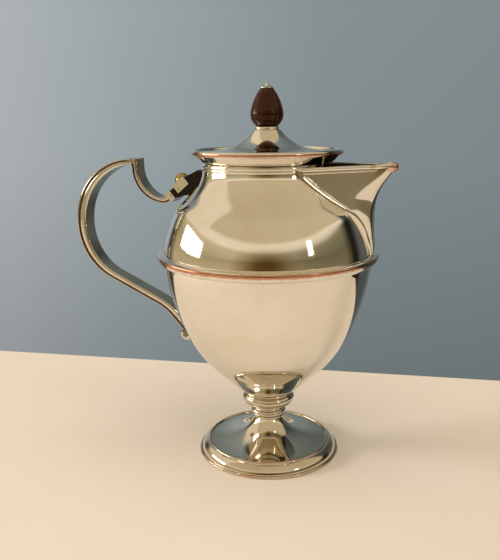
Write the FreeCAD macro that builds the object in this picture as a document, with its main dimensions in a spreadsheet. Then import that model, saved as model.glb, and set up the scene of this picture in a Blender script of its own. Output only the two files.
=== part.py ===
"""Silver-plated pedestal coffee pot with a lift-off lid, a beak spout and a scroll handle.

The pot stands on z = 0 with its axis on Z, the spout towards +X and the handle towards -X.
Lengths are millimetres and angles are degrees. Every corner below is a pair of formulas in the
names of the sheet, so a changed cell moves each piece that depends on it.
"""
import FreeCAD, Part
import os
import re
import Sketcher

SIZES = {
    # Foot, stem and knop
    "foot_radius": 46.6,
    "foot_wire_width": 3.4,
    "foot_wire_height": 1.6,
    "foot_wire_round": 0.7,
    "foot_wall": 1.2,
    "ovolo_height": 5.8,
    "ovolo_swell": 1.0,
    "step_radius": 40.4,
    "step_bead_width": 1.8,
    "step_bead_rise": 0.8,
    "step_margin": 0.2,
    "trumpet_radius": 18.0,
    "trumpet_rise": 5.6,
    "trumpet_sag": 1.0,
    "stem_radius": 8.8,
    "stem_height": 24.0,
    "stem_sag": 1.2,
    "collar_radius": 10.5,
    "collar_height": 4.6,
    "collar_swell": 1.1,
    "cove_radius": 9.8,
    "cove_height": 2.6,
    "cove_depth": 0.5,
    "knop_foot_radius": 11.2,
    "knop_edge_radius": 15.6,
    "knop_edge_rise": 2.3,
    "knop_swell": 1.8,
    "knop_height": 8.3,
    # Bowl and girdle
    "sheet_wall": 1.2,
    "bowl_base_radius": 15.2,
    "cone_radius": 32.5,
    "cone_rise": 16.5,
    "belly_radius": 49.0,
    "belly_rise": 20.0,
    "belly_swell": 1.1,
    "side_rise": 52.0,
    "side_swell": 2.55,
    "girdle_seat_radius": 65.7,
    "girdle_seat_drop": 4.0,
    "girdle_drop": 2.8,
    "girdle_stand": 3.9,
    "girdle_height": 7.2,
    # Shoulder and neck
    "dome_start_rise": 6.0,
    "dome_rise": 23.5,
    "dome_swell": 0.63,
    "shoulder_radius": 57.8,
    "shoulder_rise": 6.0,
    "shoulder_swell": 0.55,
    "neck_foot_radius": 52.3,
    "neck_sweep": 18.5,
    "neck_hollow": 2.4,
    "neck_radius": 39.8,
    "neck_height": 4.7,
    "neck_bead_stand": 0.8,
    "neck_bead_round": 0.5,
    "neck_bead_height": 1.8,
    "neck_lip": 0.5,
    # Spout
    "spout_inset": 1.9,
    "lip_reach": 40.4,
    "lip_over": 1.6,
    "lip_angle": 54.0,
    "lip_nose": 2.4,
    "throat_reach": 33.8,
    "throat_swell": 0.6,
    "throat_drop": 6.7,
    "throat_angle": 45.5,
    "throat_nose": 3.4,
    "beak_reach": 25.5,
    "beak_swell": 3.8,
    "beak_drop": 14.7,
    "beak_angle": 37.7,
    "beak_nose": 4.0,
    "cheek_reach": 14.5,
    "cheek_angle": 26.3,
    "cheek_nose": 4.2,
    "breast_reach": 6.8,
    "breast_rise": 20.0,
    "breast_swell": 0.3,
    "breast_angle": 16.1,
    "breast_nose": 4.2,
    "keel_reach": 2.9,
    "keel_rise": 10.0,
    "keel_swell": 0.9,
    "keel_angle": 11.3,
    "keel_nose": 3.6,
    "toe_reach": 0.8,
    "toe_rise": 2.0,
    "toe_swell": 0.3,
    "toe_angle": 7.3,
    "toe_nose": 2.8,
    "rim_drop": 1.6,
    "rim_tilt": 1.2,
    "rim_wire_height": 3.9,
    "rim_wire_stand": 1.2,
    # Lid and finial
    "lid_clearance": 0.3,
    "bezel_clearance": 0.4,
    "bezel_wall": 1.0,
    "bezel_depth": 11.0,
    "flange_seat_width": 1.9,
    "flange_rise": 6.0,
    "lid_edge_radius": 45.8,
    "lid_wall": 1.0,
    "lid_wire_height": 3.5,
    "lid_wire_round": 1.2,
    "lid_dish_radius": 42.0,
    "lid_dish_sag": 0.7,
    "hat_radius": 24.5,
    "hat_rise": 1.6,
    "hat_sag": 1.44,
    "lid_top_radius": 8.4,
    "lid_top_rise": 11.0,
    "finial_seat_radius": 7.2,
    "finial_seat_height": 1.8,
    "finial_foot_radius": 6.1,
    "finial_radius": 10.2,
    "finial_girth_height": 7.9,
    "finial_height": 22.6,
    "finial_top_radius": 3.9,
    "finial_foot_swell": 1.2,
    "finial_side_swell": 1.05,
    "cap_height": 3.3,
    "cap_tip_radius": 0.4,
    "stud_radius": 1.5,
    "stud_clearance": 0.1,
    "stud_grip": 1.2,
    "nut_flats": 5.5,
    "nut_height": 2.6,
    # Handle
    "handle_width": 12.0,
    "handle_reach": 136.1,
    "strap_thickness": 5.4,
    "grip_thickness": 6.8,
    "grip_drop": 43.4,
    "heel_reach": 88.0,
    "heel_over": 1.7,
    "heel_length": 5.0,
    "heel_thickness": 3.6,
    "bow_run": 23.1,
    "bow_drop": 37.4,
    "arm_run": 21.1,
    "arm_rise": 10.3,
    "curl_run": 5.7,
    "curl_rise": 1.2,
    "roll_radius": 4.4,
    "roll_drop": 3.1,
    # Upper handle joint
    "insulator_tilt": 40.0,
    "insulator_stand": 5.2,
    "insulator_rise": 10.4,
    "insulator_tail": 10.9,
    "insulator_front": 5.6,
    "insulator_tip": 15.3,
    "insulator_slope": 2.4,
    "insulator_depth": 12.7,
    "insulator_toe_run": 3.2,
    "insulator_toe_drop": 7.6,
    "ferrule_wall": 0.6,
    "ferrule_length": 4.0,
    "ferrule_margin": 0.2,
    "saddle_length": 9.8,
    "saddle_depth": 5.0,
    "saddle_wall": 1.2,
    "screw_radius": 1.8,
    "screw_head_radius": 4.8,
    "screw_head_height": 4.6,
    "pin_radius": 0.7,
    "pin_margin": 0.6,
    "boss_radius": 4.0,
    "boss_length": 4.5,
    # Lower handle joint
    "pad_tilt": 131.6,
    "pad_stand": 5.8,
    "pad_rise": 9.7,
    "pad_length": 11.0,
    "pad_depth": 5.3,
    "lug_width": 4.0,
    "lug_length": 6.4,
    "lug_grip": 4.0,
    "lug_clearance": 0.1,
    "lug_pin_depth": 2.6,
}


doc = FreeCAD.newDocument("coffee_pot")
sheet = doc.addObject("Spreadsheet::Sheet", "sizes")
for row, (name, size) in enumerate(SIZES.items(), start=1):
    sheet.set(f"A{row}", name)
    sheet.set(f"B{row}", str(size))
    sheet.setAlias(f"B{row}", name)
doc.recompute()

# Levels above the table, each stacked on the one below.
LEDGE = "foot_wire_height + ovolo_height"
TRUMPET = f"{LEDGE} + trumpet_rise"
KNOP_BASE = "stem_height + collar_height + cove_height"
BOWL_BASE = f"{KNOP_BASE} + knop_height"
CONE = f"{BOWL_BASE} + cone_rise"
BELLY = f"{CONE} + belly_rise"
SEAM = f"{BELLY} + side_rise + girdle_seat_drop"
DOME = f"{SEAM} + dome_start_rise"
SHOULDER = f"{DOME} + dome_rise"
NECK_FOOT = f"{SHOULDER} + shoulder_rise"
NECK = f"{NECK_FOOT} + neck_sweep"
NECK_TOP = f"{NECK} + neck_height"
LID_SEAT = f"{NECK_TOP} + lid_clearance"
LID_SHEET = f"{LID_SEAT} + flange_rise"
HAT = f"{LID_SHEET} + lid_wall + hat_rise"
LID_TOP = f"{HAT} + lid_top_rise"
FINIAL = f"{LID_TOP} + finial_seat_height"
FINIAL_TOP = f"{FINIAL} + finial_height"
HEEL = f"{NECK_TOP} + heel_over"
GRIP = f"{HEEL} - grip_drop"

# Rise of a quarter circle, as a share of its radius.
QUARTER = "0.29289"

HEX_SIDES = 6

nodes = {}


def value(formula):
    """The number that a formula in the sheet's names stands for."""
    return float(sheet.evalExpression(formula))


def linked(formula):
    """The same formula as the other objects of the document write it."""
    return re.sub(r"\b([a-z]+(?:_[a-z]+)+)\b", r"sizes.\1", formula)


def arc_radius(first, second, rise):
    """Formula of the radius of an arc that rises so far above the chord between two corners."""
    chord = f"(({second[0]}) - ({first[0]}))^2 + (({second[1]}) - ({first[1]}))^2"
    return f"({chord}) / (8 * abs({rise})) + abs({rise}) / 2"


def add_segment(sketch, first, second):
    """Draw a line, or an arc where the first corner has a third formula: its rise to the left."""
    start = FreeCAD.Vector(value(first[0]), value(first[1]))
    end = FreeCAD.Vector(value(second[0]), value(second[1]))
    if len(first) == 2:
        return sketch.addGeometry(Part.LineSegment(start, end))
    along = end - start
    left = FreeCAD.Vector(-along.y, along.x).normalize()
    middle = (start + end) / 2 + left * value(first[2])
    return sketch.addGeometry(Part.Arc(start, middle, end))


def draw(sketch, outline):
    """Draw a closed outline of corners and tie every corner and arc to the sheet."""
    following = outline[1:] + outline[:1]
    ends = []
    for first, second in zip(outline, following):
        edge = add_segment(sketch, first, second)
        start = FreeCAD.Vector(value(first[0]), value(first[1]))
        forward = sketch.getPoint(edge, 1).isEqual(start, 1e-4)
        ends.append((edge, 1, 2) if forward else (edge, 2, 1))
    rules = []
    for (edge, start, _), (before, _, end) in zip(ends, ends[-1:] + ends[:-1]):
        sketch.addConstraint(Sketcher.Constraint("Coincident", edge, start, before, end))
    for (edge, start, _), corner, second in zip(ends, outline, following):
        for kind, formula in zip(("DistanceX", "DistanceY"), corner):
            rule = Sketcher.Constraint(kind, -1, 1, edge, start, value(formula))
            rules.append((sketch.addConstraint(rule), formula))
        if len(corner) == 3:
            radius = arc_radius(corner, second, corner[2])
            rule = Sketcher.Constraint("Radius", edge, value(radius))
            rules.append((sketch.addConstraint(rule), radius))
    for index, formula in rules:
        sketch.setExpression(f"Constraints[{index}]", linked(formula))


def new_body(name, plane, outline):
    """A body with one sketch on an origin plane of its own."""
    body = doc.addObject("PartDesign::Body", name)
    sketch = body.newObject("Sketcher::SketchObject", f"{name}_outline")
    support = [item for item in body.Origin.OriginFeatures if item.Role == plane][0]
    sketch.AttachmentSupport = [(support, "")]
    sketch.MapMode = "FlatFace"
    draw(sketch, outline)
    return body, sketch


def turned(name, outline):
    """A piece turned or spun about the vertical axis from its half section."""
    body, sketch = new_body(name, "XZ_Plane", outline)
    turn = body.newObject("PartDesign::Revolution", f"{name}_turn")
    turn.Profile = (sketch, [""])
    turn.ReferenceAxis = (sketch, ["V_Axis"])
    turn.Angle = 360
    doc.recompute()
    return body


def profiled(name, outline, width):
    """A piece of constant width across Y, cut from its side view."""
    body, sketch = new_body(name, "XZ_Plane", outline)
    pad = body.newObject("PartDesign::Pad", f"{name}_pad")
    pad.Profile = (sketch, [""])
    pad.Midplane = True
    pad.setExpression("Length", linked(width))
    doc.recompute()
    return body


def place(item, origin, tilt):
    """Seat a piece that is drawn about its own origin, leaning back by a tilt."""
    item.Placement = FreeCAD.Placement(FreeCAD.Vector(), FreeCAD.Rotation(FreeCAD.Vector(0, 1, 0), -1))
    item.setExpression("Placement.Base.x", linked(origin[0]))
    item.setExpression("Placement.Base.z", linked(origin[1]))
    item.setExpression("Placement.Rotation.Angle", linked(f"-{tilt}"))
    return item


def rod(name, radius, low, high):
    """A cylinder on its own Z axis between two levels, wrapped so that it can be seated."""
    return turned(name, [("0", low), (radius, low), (radius, high), ("0", high)])


def pair(kind, name, base, tool):
    """A boolean of two objects."""
    result = doc.addObject(kind, name)
    result.Base = base
    result.Tool = tool
    doc.recompute()
    return result


def cut(name, base, *tools):
    """Take tools away from a base one after another."""
    for index, tool in enumerate(tools):
        last = index == len(tools) - 1
        base = pair("Part::Cut", name if last else f"{name}_before_{tool.Name}", base, tool)
    return base


def keep(name, item):
    """Name a finished piece of the pot."""
    item.Label = name
    nodes[name] = item
    return item


def leaning(origin, tilt, along, out):
    """Corner given along and out from a leaning seat."""
    x = f"{origin[0]} + ({along}) * cos({tilt}) - ({out}) * sin({tilt})"
    z = f"{origin[1]} + ({along}) * sin({tilt}) + ({out}) * cos({tilt})"
    return x, z


def foot_pieces():
    """Spun trumpet foot, its edge wire and the bead on its step."""
    wire_edge = "foot_radius - foot_wire_round"
    keep("foot_rim_wire", turned("foot_rim_wire", [
        ("foot_radius - foot_wire_width", "0"),
        (wire_edge, "0", "-foot_wire_round"),
        (wire_edge, "foot_wire_height"),
        ("foot_radius - foot_wire_width", "foot_wire_height"),
    ]))
    brim = "foot_radius - 2 * foot_wire_round"
    trumpet_edge = "step_radius - step_bead_width - step_margin"
    keep("foot", turned("foot", [
        (brim, "foot_wire_height", "-ovolo_swell"),
        ("step_radius", LEDGE),
        (trumpet_edge, LEDGE, "trumpet_sag"),
        ("trumpet_radius", TRUMPET, "stem_sag"),
        ("stem_radius", "stem_height - foot_wall"),
        ("stem_radius", "stem_height"),
        ("stem_radius - foot_wall", "stem_height"),
        ("stem_radius - foot_wall", "stem_height - 2 * foot_wall", "-stem_sag"),
        ("trumpet_radius - foot_wall / 2", f"{TRUMPET} - foot_wall", "-trumpet_sag"),
        (trumpet_edge, f"{LEDGE} - foot_wall"),
        ("step_radius - foot_wall", f"{LEDGE} - foot_wall", "ovolo_swell"),
        (f"{brim} - foot_wall", "foot_wire_height"),
    ]))
    keep("foot_step_wire", turned("foot_step_wire", [
        ("step_radius - step_bead_width", LEDGE),
        ("step_radius", LEDGE, "-step_bead_rise"),
    ]))


def stem_pieces():
    """Turned collar and cushion knop between the foot and the bowl."""
    keep("stem_collar", turned("stem_collar", [
        ("0", "stem_height"),
        ("collar_radius", "stem_height", "-collar_swell"),
        ("collar_radius", "stem_height + collar_height"),
        ("cove_radius", "stem_height + collar_height", "cove_depth"),
        ("cove_radius", KNOP_BASE),
        ("0", KNOP_BASE),
    ]))
    keep("stem_knop", turned("stem_knop", [
        ("0", KNOP_BASE),
        ("knop_foot_radius", KNOP_BASE),
        ("knop_edge_radius", f"{KNOP_BASE} + knop_edge_rise", "-knop_swell"),
        ("bowl_base_radius", BOWL_BASE),
        ("0", BOWL_BASE),
    ]))


def bowl_line(wall, base):
    """Side of the bowl from its base to the seam, set in by a wall."""
    seat = f"girdle_seat_radius - {wall}"
    return [
        (f"bowl_base_radius - 0.2 * {wall}", base),
        (f"cone_radius - 0.7 * {wall}", f"{CONE} + 0.74 * {wall}", "-belly_swell"),
        (f"belly_radius - 0.88 * {wall}", f"{BELLY} + 0.48 * {wall}", "-side_swell"),
        (seat, f"{SEAM} - girdle_seat_drop"),
        (seat, SEAM),
    ]


def dome_line(wall):
    """Side of the shoulder and neck from the seam to the mouth, set in by a wall."""
    return [
        (f"girdle_seat_radius - {wall}", SEAM),
        (f"girdle_seat_radius - {wall}", DOME, "-dome_swell"),
        (f"shoulder_radius - 0.9 * {wall}", f"{SHOULDER} - 0.42 * {wall}", "-shoulder_swell"),
        (f"neck_foot_radius - 0.67 * {wall}", f"{NECK_FOOT} - 0.75 * {wall}", "neck_hollow"),
        (f"neck_radius - {wall}", NECK),
        (f"neck_radius - {wall}", NECK_TOP),
    ]


def back(line):
    """The same line walked the other way, with each arc handed to its other end."""
    corners = [corner[:2] for corner in line]
    rises = [corner[2] if len(corner) == 3 else None for corner in line]
    reversed_line = []
    for index in range(len(line) - 1, -1, -1):
        rise = rises[index - 1] if index else None
        if rise is None:
            reversed_line.append(corners[index])
        else:
            reversed_line.append((*corners[index], f"-({rise})"))
    return reversed_line


def pot_core(name, wall, base):
    """The pot filled to its outer or inner face, run on past the mouth, to trim other pieces."""
    over = f"{NECK_TOP} + lip_over + neck_height"
    line = bowl_line(wall, base)[:-1] + dome_line(wall)
    return turned(name, [("0", base), *line, (f"neck_radius - {wall}", over), ("0", over)])


def pot_pieces(spout_outer, spout_fat, screw_hole):
    """Bowl, shoulder and the wires on them, opened for the spout and the handle's screw."""
    floor = f"{BOWL_BASE} + sheet_wall"
    keep("lower_bowl", turned("lower_bowl", [
        ("0", BOWL_BASE), *bowl_line("0", BOWL_BASE), *back(bowl_line("sheet_wall", floor)), ("0", floor),
    ]))
    dome = turned("dome_turned", [*dome_line("0"), *back(dome_line("sheet_wall"))])
    keep("upper_body", cut("upper_body", dome, spout_outer, screw_hole))
    bottom = f"{SEAM} - girdle_drop"
    keep("girdle_wire", turned("girdle_wire", [
        ("girdle_seat_radius", bottom, "-0.1 * girdle_stand"),
        ("girdle_seat_radius + girdle_stand", f"{bottom} + 0.55 * girdle_height", "-0.16 * girdle_stand"),
        ("girdle_seat_radius + 0.92 * girdle_stand", f"{bottom} + 0.88 * girdle_height"),
        ("girdle_seat_radius", f"{bottom} + girdle_height"),
    ]))
    crest = "neck_radius + neck_bead_stand"
    ring = turned("neck_ring", [
        ("neck_radius", f"{NECK_TOP} - neck_lip - 2 * neck_bead_height"),
        (crest, f"{NECK_TOP} - neck_lip - 2 * neck_bead_height", "-neck_bead_round"),
        (crest, f"{NECK_TOP} - neck_lip - neck_bead_height", "-neck_bead_round"),
        (crest, f"{NECK_TOP} - neck_lip"),
        ("neck_radius", f"{NECK_TOP} - neck_lip"),
    ])
    keep("neck_rim_wire", cut("neck_rim_wire", ring, spout_fat))


def dome_side(rise, swell):
    """Radius of the dome's side at a rise above its start."""
    share = f"(1 - {rise} / dome_rise)"
    return f"shoulder_radius + {share} * (girdle_seat_radius - shoulder_radius) + {swell}"


# Each section of the spout: its level and the radius of the pot's side there.
SPOUT_SECTIONS = {
    "lip": (f"{NECK_TOP} + lip_over", "neck_radius"),
    "throat": (f"{NECK_TOP} - throat_drop", "neck_radius + throat_swell"),
    "beak": (f"{NECK_TOP} - beak_drop", "neck_radius + beak_swell"),
    "cheek": (NECK_FOOT, "neck_foot_radius"),
    "breast": (f"{DOME} + breast_rise", dome_side("breast_rise", "breast_swell")),
    "keel": (f"{DOME} + keel_rise", dome_side("keel_rise", "keel_swell")),
    "toe": (f"{DOME} + toe_rise", dome_side("toe_rise", "toe_swell")),
}


def spout_section(name, part, grow):
    """One level section of the spout: a blunt vee, grown or shrunk sideways."""
    level, seat = SPOUT_SECTIONS[part]
    tip = f"{seat} + {part}_reach + {grow}"
    rear = f"({seat} - spout_inset) * cos({part}_angle)"
    spread = f"({seat} - spout_inset) * sin({part}_angle) + {grow}"
    nose = f"{part}_nose"
    blunt = f"{nose} * tan((90 deg - atan(({spread}) / ({tip} - {rear}))) / 2)"
    sketch = doc.addObject("Sketcher::SketchObject", f"{name}_{part}")
    draw(sketch, [
        (rear, f"-({spread})"),
        (f"{tip} - {blunt}", f"-{nose}", f"-({blunt})"),
        (f"{tip} - {blunt}", nose),
        (rear, spread),
    ])
    sketch.setExpression("Placement.Base.z", linked(level))
    return sketch


def spout_loft(name, grow):
    """Solid through all the sections of the spout."""
    loft = doc.addObject("Part::Loft", name)
    loft.Sections = [spout_section(name, part, grow) for part in SPOUT_SECTIONS]
    loft.Solid = True
    loft.Ruled = False
    doc.recompute()
    return loft


def rim_slab(name, drop, height):
    """Slab that lies along the spout's lip, which climbs a little towards its tip."""
    slab = doc.addObject("Part::Box", name)
    slab.setExpression("Length", linked("2 * girdle_seat_radius"))
    slab.setExpression("Width", linked("2 * girdle_seat_radius"))
    slab.setExpression("Height", linked(height))
    place(slab, ("0", f"{NECK_TOP} - rim_drop - ({drop})"), "rim_tilt")
    slab.setExpression("Placement.Base.y", linked("-girdle_seat_radius"))
    doc.recompute()
    return slab


def spout_pieces(core, hollow):
    """Beak spout let into the shoulder, and the wire round its lip."""
    outer = spout_loft("spout_outer", "0")
    inner = spout_loft("spout_inner", "-sheet_wall")
    fat = spout_loft("spout_fat", "rim_wire_stand")
    above = rim_slab("above_rim", "0", "2 * rim_wire_height")
    band = rim_slab("rim_band", "rim_wire_height", "rim_wire_height")
    keep("spout_shell", cut("spout_shell", outer, inner, hollow, above))
    wire = pair("Part::Common", "rim_wire_blank", fat, band)
    keep("spout_rim_wire", cut("spout_rim_wire", wire, outer, core))
    return outer, fat


def lid_pieces():
    """Dished lid with its flared bezel and edge wire."""
    sleeve = "neck_radius - sheet_wall - bezel_clearance"
    inside = f"{sleeve} - bezel_wall"
    keep("lid_bezel", turned("lid_bezel", [
        (inside, f"{LID_SEAT} - bezel_depth"),
        (sleeve, f"{LID_SEAT} - bezel_depth"),
        (sleeve, LID_SEAT),
        (f"{sleeve} + flange_seat_width", LID_SEAT),
        ("lid_edge_radius", f"{LID_SHEET} - bezel_wall"),
        ("lid_edge_radius", LID_SHEET),
        ("lid_edge_radius - 1.2 * bezel_wall", LID_SHEET),
        (f"{sleeve} + flange_seat_width - 0.5 * bezel_wall", f"{LID_SEAT} + bezel_wall"),
        (inside, f"{LID_SEAT} + bezel_wall"),
    ]))
    bore = "stud_radius + stud_clearance"
    dish_top = f"{LID_SHEET} + lid_wall"
    keep("lid_shell", turned("lid_shell", [
        (bore, LID_TOP),
        ("lid_top_radius", LID_TOP, "-hat_sag"),
        ("hat_radius", HAT, "-lid_dish_sag"),
        ("lid_dish_radius", dish_top),
        ("lid_edge_radius", dish_top),
        ("lid_edge_radius", LID_SHEET),
        ("lid_dish_radius", LID_SHEET, "lid_dish_sag"),
        ("hat_radius - 0.4 * lid_wall", f"{HAT} - lid_wall", "hat_sag"),
        ("lid_top_radius - 0.8 * lid_wall", f"{LID_TOP} - lid_wall"),
        (bore, f"{LID_TOP} - lid_wall"),
    ]))
    wire_middle = f"{LID_SHEET} + lid_wall / 4"
    keep("lid_rim_wire", turned("lid_rim_wire", [
        ("lid_edge_radius", f"{wire_middle} - lid_wire_height / 2", "-lid_wire_round"),
        ("lid_edge_radius", f"{wire_middle} + lid_wire_height / 2"),
    ]))


def finial_pieces():
    """Wooden acorn on a silver seat, held by a stud with a pointed cap and a nut."""
    bore = "stud_radius + stud_clearance"
    keep("finial_seat", turned("finial_seat", [
        (bore, LID_TOP),
        ("finial_seat_radius", LID_TOP, "-0.2 * finial_seat_height"),
        ("finial_seat_radius", FINIAL),
        (bore, FINIAL),
    ]))
    keep("finial_wood", turned("finial_wood", [
        (bore, FINIAL),
        ("finial_foot_radius", FINIAL, "-finial_foot_swell"),
        ("finial_radius", f"{FINIAL} + finial_girth_height", "-finial_side_swell"),
        ("finial_top_radius", FINIAL_TOP),
        (bore, FINIAL_TOP),
    ]))
    keep("finial_cap", turned("finial_cap", [
        ("stud_radius", FINIAL_TOP),
        ("finial_top_radius", FINIAL_TOP),
        ("finial_top_radius", f"{FINIAL_TOP} + 0.2 * cap_height", "0.1 * cap_height"),
        ("cap_tip_radius", f"{FINIAL_TOP} + cap_height"),
        ("0", f"{FINIAL_TOP} + cap_height"),
        ("0", f"{FINIAL_TOP} + stud_grip"),
        ("stud_radius", f"{FINIAL_TOP} + stud_grip"),
    ]))
    nut_base = f"{LID_TOP} - lid_wall - nut_height"
    keep("finial_stud", rod("finial_stud", "stud_radius", f"{nut_base} - stud_radius / 2",
                            f"{FINIAL_TOP} + stud_grip"))
    hexagon = doc.addObject("Part::Prism", "nut_blank")
    hexagon.Polygon = HEX_SIDES
    hexagon.setExpression("Circumradius", linked("nut_flats / 2 / cos(30)"))
    hexagon.setExpression("Height", linked("nut_height"))
    hexagon.setExpression("Placement.Base.z", linked(nut_base))
    keep("finial_nut", cut("finial_nut", hexagon, doc.getObject("finial_stud")))


SCREW_SEAT = ("-(neck_foot_radius + insulator_stand)", f"{NECK_FOOT} + insulator_rise")
SCREW_END = "-insulator_depth - boss_length"
PAD_SIDE = "belly_radius + pad_rise / side_rise * (girdle_seat_radius - belly_radius)"
PAD_SEAT = (f"-({PAD_SIDE} + pad_stand)", f"{BELLY} + pad_rise")


def roll_corners():
    """The lower end of the strap, rolled outwards about a centre level with its outer face."""
    centre = "-(pad_length / 2 + roll_drop)"
    rise = f"-{QUARTER} * roll_radius"
    corners = [
        (f"{centre} + roll_radius", "strap_thickness"),
        (centre, "strap_thickness + roll_radius"),
        (f"{centre} - roll_radius", "strap_thickness"),
        (centre, "strap_thickness - roll_radius"),
    ]
    seats = [leaning(PAD_SEAT, "pad_tilt", *corner) for corner in corners]
    return [(*seat, rise) for seat in seats[:-1]] + seats[-1:]


def strap_outline():
    """Side view of the strap: heel, bow, lower arm, then back along the inside to the curled tip."""
    straight = "insulator_tail + ferrule_length / 2 + ferrule_margin"
    tip_in = leaning(SCREW_SEAT, "insulator_tilt", f"-({straight})", "0")
    tip_out = leaning(SCREW_SEAT, "insulator_tilt", f"-({straight})", "-strap_thickness")
    end_in = leaning(SCREW_SEAT, "insulator_tilt", "-insulator_tail", "0")
    end_out = leaning(SCREW_SEAT, "insulator_tilt", "-insulator_tail", "-strap_thickness")
    foot_in = leaning(PAD_SEAT, "pad_tilt", "-pad_length / 2", "0")
    knee_out = leaning(PAD_SEAT, "pad_tilt", "pad_length / 2", "strap_thickness")
    knee_in = leaning(PAD_SEAT, "pad_tilt", "pad_length / 2", "0")
    bow = ("-handle_reach + bow_run", f"{GRIP} - bow_drop")
    arm = (f"{PAD_SEAT[0]} - arm_run", f"{PAD_SEAT[1]} + arm_rise")
    inset = ("0.46 * strap_thickness", "0.75 * strap_thickness")
    return [
        ("-heel_reach", HEEL),
        ("-(heel_reach + heel_length)", HEEL, f"-{QUARTER} * grip_drop"),
        ("-handle_reach", GRIP, "-0.175 * bow_drop"),
        bow,
        (*arm, "0.05 * arm_run"),
        knee_out,
        *roll_corners(),
        foot_in,
        (*knee_in, "-0.04 * arm_run"),
        (f"{arm[0]} + {inset[0]}", f"{arm[1]} + {inset[1]}"),
        (f"{bow[0]} + {inset[0]}", f"{bow[1]} + {inset[1]}", "0.142 * bow_drop"),
        ("-handle_reach + grip_thickness", GRIP, "0.214 * grip_drop"),
        ("-(heel_reach + 2.3 * heel_thickness)", f"{HEEL} - 1.1 * heel_thickness"),
        ("-(heel_reach + 1.2 * heel_thickness)", f"{HEEL} - 0.9 * heel_thickness"),
        ("-(heel_reach + heel_thickness)", f"{HEEL} - 1.6 * heel_thickness", "-1.1 * curl_run"),
        (f"{tip_out[0]} - curl_run", f"{tip_out[1]} - curl_rise", "-0.09 * curl_run"),
        tip_out,
        end_out,
        end_in,
        (*tip_in, "0.1 * curl_run"),
        (f"{tip_in[0]} - 0.74 * curl_run", f"{tip_in[1]} - 1.8 * curl_rise", "0.78 * curl_run"),
        ("-heel_reach", f"{HEEL} - 1.5 * heel_thickness"),
    ]


def seated(item, seat, tilt):
    """Seat a piece of the handle's joints and let the document catch up."""
    place(item, seat, tilt)
    doc.recompute()
    return item


def cross_pin(name, seat, tilt, along, out, length):
    """Pin across the handle at a place given along and out from a leaning seat."""
    pin = doc.addObject("Part::Cylinder", name)
    pin.setExpression("Radius", linked("pin_radius"))
    pin.setExpression("Height", linked(length))
    pin.Placement = FreeCAD.Placement(FreeCAD.Vector(), FreeCAD.Rotation(FreeCAD.Vector(1, 0, 0), 90))
    corner = leaning(seat, tilt, along, out)
    pin.setExpression("Placement.Base.x", linked(corner[0]))
    pin.setExpression("Placement.Base.y", linked(f"({length}) / 2"))
    pin.setExpression("Placement.Base.z", linked(corner[1]))
    doc.recompute()
    return pin


def joint_sleeve(name, along, length, top, bottom, wall, floor):
    """Rectangular sleeve round the handle at the upper joint, or a saddle where it has no floor."""
    ends = (f"{along} - {length} / 2", f"{along} + {length} / 2")
    under = f"{bottom} - {wall}" if floor else bottom
    outer = [(ends[0], under), (ends[1], under), (ends[1], f"{top} + {wall}"), (ends[0], f"{top} + {wall}")]
    inner = [(ends[0], bottom), (ends[1], bottom), (ends[1], top), (ends[0], top)]
    shell = profiled(f"{name}_outer", outer, f"handle_width + 2 * {wall}")
    space = profiled(f"{name}_inner", inner, "handle_width")
    for item in (shell, space):
        seated(item, SCREW_SEAT, "insulator_tilt")
    return cut(f"{name}_sleeve", shell, space)


def dome_screw(name, head_base, head_radius, head_height, end):
    """Screw with a domed head, part of a ball: its axis is its own Z."""
    ball = f"({head_radius}^2 + {head_height}^2) / (2 * {head_height})"
    rise = f"{ball} - sqrt(({ball})^2 - ({head_radius}^2 + {head_height}^2) / 4)"
    return turned(name, [
        ("0", end),
        ("screw_radius", end),
        ("screw_radius", head_base),
        (head_radius, head_base, f"-({rise})"),
        ("0", f"{head_base} + {head_height}"),
    ])


def upper_joint(core, hollow, hole):
    """Wooden block in the hollow of the neck, gripped by the ferrule and by a screwed saddle."""
    ferrule_pin = keep("ferrule_pin", cross_pin(
        "ferrule_pin", SCREW_SEAT, "insulator_tilt", "-insulator_tail + ferrule_length / 4",
        "-strap_thickness / 2", "handle_width + 2 * ferrule_wall"))
    saddle_pin = keep("saddle_pin", cross_pin(
        "saddle_pin", SCREW_SEAT, "insulator_tilt", "-(screw_radius + pin_radius + pin_margin)",
        "-0.6 * saddle_depth", "handle_width + 2 * saddle_wall"))
    block = seated(profiled("insulator_block", [
        ("-insulator_tail", "0"),
        ("insulator_front", "0"),
        ("insulator_tip", "-insulator_slope"),
        ("insulator_tip + insulator_toe_run", "-insulator_slope - insulator_toe_drop"),
        ("0.3 * insulator_tail", "-1.35 * insulator_depth"),
        ("-0.1 * insulator_tail", "-0.75 * insulator_depth"),
        ("-insulator_tail + ferrule_length / 2 + ferrule_margin", "-strap_thickness"),
        ("-insulator_tail", "-strap_thickness"),
    ], "handle_width"), SCREW_SEAT, "insulator_tilt")
    keep("handle_upper_insulator",
         cut("handle_upper_insulator", block, core, hole, ferrule_pin, saddle_pin))
    ferrule = joint_sleeve("ferrule", "-insulator_tail", "ferrule_length", "0", "-strap_thickness",
                           "ferrule_wall", True)
    keep("handle_upper_ferrule", cut("handle_upper_ferrule", ferrule, ferrule_pin))
    saddle = joint_sleeve("saddle", "0", "saddle_length", "0", "-saddle_depth", "saddle_wall", False)
    keep("insulator_saddle", cut("insulator_saddle", saddle, hole, saddle_pin))
    screw = dome_screw("insulator_screw", "saddle_wall", "screw_head_radius", "screw_head_height", SCREW_END)
    keep("insulator_screw", seated(screw, SCREW_SEAT, "insulator_tilt"))
    boss = seated(rod("boss_blank", "boss_radius", SCREW_END, "-insulator_depth + boss_length"),
                  SCREW_SEAT, "insulator_tilt")
    inside = pair("Part::Common", "boss_inside", boss, hollow)
    keep("insulator_boss", cut("insulator_boss", inside, hole))


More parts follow.
